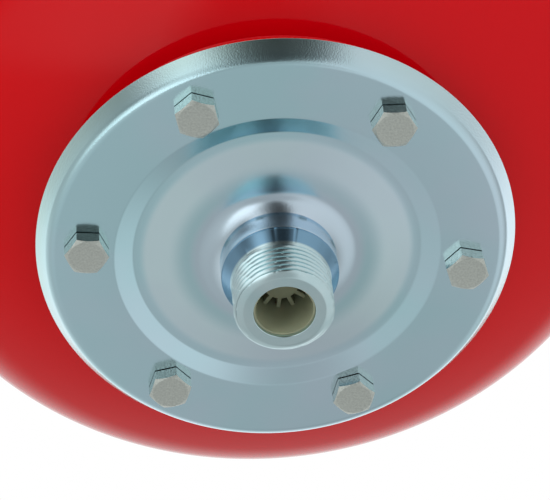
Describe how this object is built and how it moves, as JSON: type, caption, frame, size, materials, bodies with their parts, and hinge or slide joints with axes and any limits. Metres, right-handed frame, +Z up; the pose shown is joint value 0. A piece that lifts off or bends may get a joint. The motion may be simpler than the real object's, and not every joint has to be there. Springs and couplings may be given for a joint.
{
  "type": "expansion vessel",
  "caption": "Upright pressure vessel for heating water: a red steel shell in two halves, a bolted zinc-plated counterflange with a threaded nozzle below, and a covered air valve on top.",
  "frame": {"origin": "on the vessel's axis, at the shoulder where the connection thread ends", "axes": "+Z up along the vessel's axis, from the nozzle to the air valve; +X through one of the flange bolts"},
  "size_m": [0.2822, 0.2822, 0.5231],
  "materials": {
    "red_coating": "glossy powder coat",
    "zinc_pressing": "bright blue-passivated zinc",
    "turned_zinc": "turned and zinc-plated",
    "bolt_zinc": "satin zinc",
    "insert_plastic": "moulded, grey-green",
    "black_rubber": "moulded",
    "valve_brass": "turned",
    "seal_plastic": "moulded, white",
    "spring_steel": "drawn wire",
    "black_plastic": "moulded, fine texture",
    "foil_label": "matt foil, bare"
  },
  "bodies": {
    "vessel": {"lower_shell": "red_coating", "upper_shell": "red_coating", "seam_weld": "red_coating", "flange_ring": "red_coating", "ring_weld": "red_coating", "counter_flange": "zinc_pressing", "threaded_nozzle": "turned_zinc", "nozzle_weld": "turned_zinc", "nozzle_insert": "insert_plastic", "flange_bolts": "bolt_zinc", "membrane": "black_rubber", "valve_boss": "red_coating", "valve_boss_weld": "red_coating", "valve_washer": "black_rubber", "valve_body": "valve_brass", "valve_core": "valve_brass", "core_seal": "seal_plastic", "valve_spring": "spring_steel", "rating_plate": "foil_label"},
    "cap_lifter": {"cap_seal": "black_rubber"},
    "dust_cap": {"dust_cap": "valve_brass"},
    "valve_pin": {"valve_pin": "valve_brass", "pin_seal": "black_rubber"},
    "valve_cover": {"valve_cover": "black_plastic"}
  },
  "joints": [
    {"name": "cover_lift", "type": "slide", "parent": "vessel", "child": "valve_cover", "axis": [0, 0, 1], "range_m": [0, 0.06]},
    {"name": "cap_lift", "type": "slide", "parent": "vessel", "child": "cap_lifter", "axis": [0, 0, 1], "range_m": [0, 0.00794]},
    {"name": "cap_turn", "type": "hinge", "parent": "cap_lifter", "child": "dust_cap", "pos_m": [0, 0, 0.48731], "axis": [0, 0, 1], "range_deg": [0, 3600]},
    {"name": "pin_press", "type": "slide", "parent": "vessel", "child": "valve_pin", "axis": [0, 0, -1], "range_m": [0, 0.0015], "stiffness_N_per_m": 400, "springref_m": -0.001, "deforming": ["valve_spring"]}
  ],
  "couplings": [
    {"joint": "cap_turn", "follows": "cap_lift", "rad_per_m": 7915.8}
  ]
}
